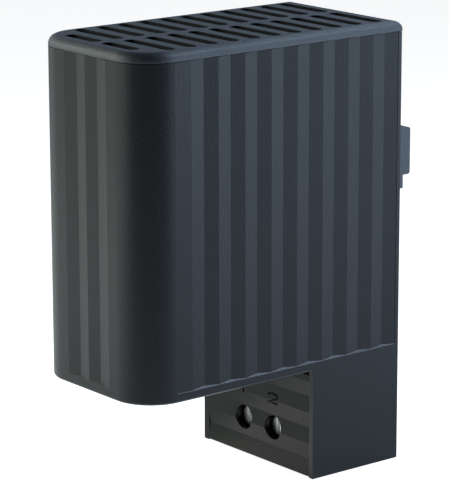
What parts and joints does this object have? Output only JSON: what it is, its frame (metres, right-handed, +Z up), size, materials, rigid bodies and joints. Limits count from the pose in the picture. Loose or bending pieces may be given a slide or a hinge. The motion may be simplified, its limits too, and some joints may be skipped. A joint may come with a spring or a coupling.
{
  "type": "enclosure heater",
  "caption": "Slim rail-mounted enclosure heater: ribbed touch-safe housing, slotted air outlet, finned heat sink inside and a terminal box below the rear.",
  "frame": {"origin": "middle of a 35 mm mounting rail, on the face of the clip that rests on the rail's front", "axes": "+Z up, along the rising air; +Y out of the back, into the rail; +X along the rail"},
  "size_m": [0.038, 0.075, 0.0983],
  "materials": {
    "housing_plastic": "fine matt moulded black plastic that reads as dark blue-grey in light",
    "cover_plastic": "fine matt moulded black plastic",
    "clip_plastic": "satin moulded black plastic",
    "carrier_plastic": "heat-resistant dark grey plastic",
    "terminal_plastic": "dark grey terminal plastic",
    "extruded_aluminium": "plain extruded aluminium",
    "ptc_ceramic": "dark grey sintered ceramic",
    "brass": "plain pressed brass",
    "polyimide_film": "amber insulating film",
    "zinc_steel": "bright zinc plate",
    "tinned_copper": "tinned copper sleeve",
    "wire_silicone": "grey silicone insulation"
  },
  "bodies": {
    "root": {"housing": "housing_plastic", "top_grille": "housing_plastic", "bottom_grille": "housing_plastic", "terminal_cover": "cover_plastic", "terminal_base": "cover_plastic", "terminal_block": "terminal_plastic", "terminal_clamp_1": "brass", "terminal_clamp_2": "brass", "terminal_screw_1": "zinc_steel", "terminal_screw_2": "zinc_steel", "heat_sink": "extruded_aluminium", "lower_carrier": "carrier_plastic", "upper_carrier": "carrier_plastic", "ptc_tile_1": "ptc_ceramic", "ptc_tile_2": "ptc_ceramic", "contact_plate_1": "brass", "contact_plate_2": "brass", "insulating_film_1": "polyimide_film", "insulating_film_2": "polyimide_film", "lead_wire_1": "wire_silicone", "lead_wire_2": "wire_silicone", "ferrule_1": "tinned_copper", "ferrule_2": "tinned_copper", "din_clip": "clip_plastic", "clip_screw_1": "zinc_steel", "clip_screw_2": "zinc_steel"}
  },
  "joints": []
}
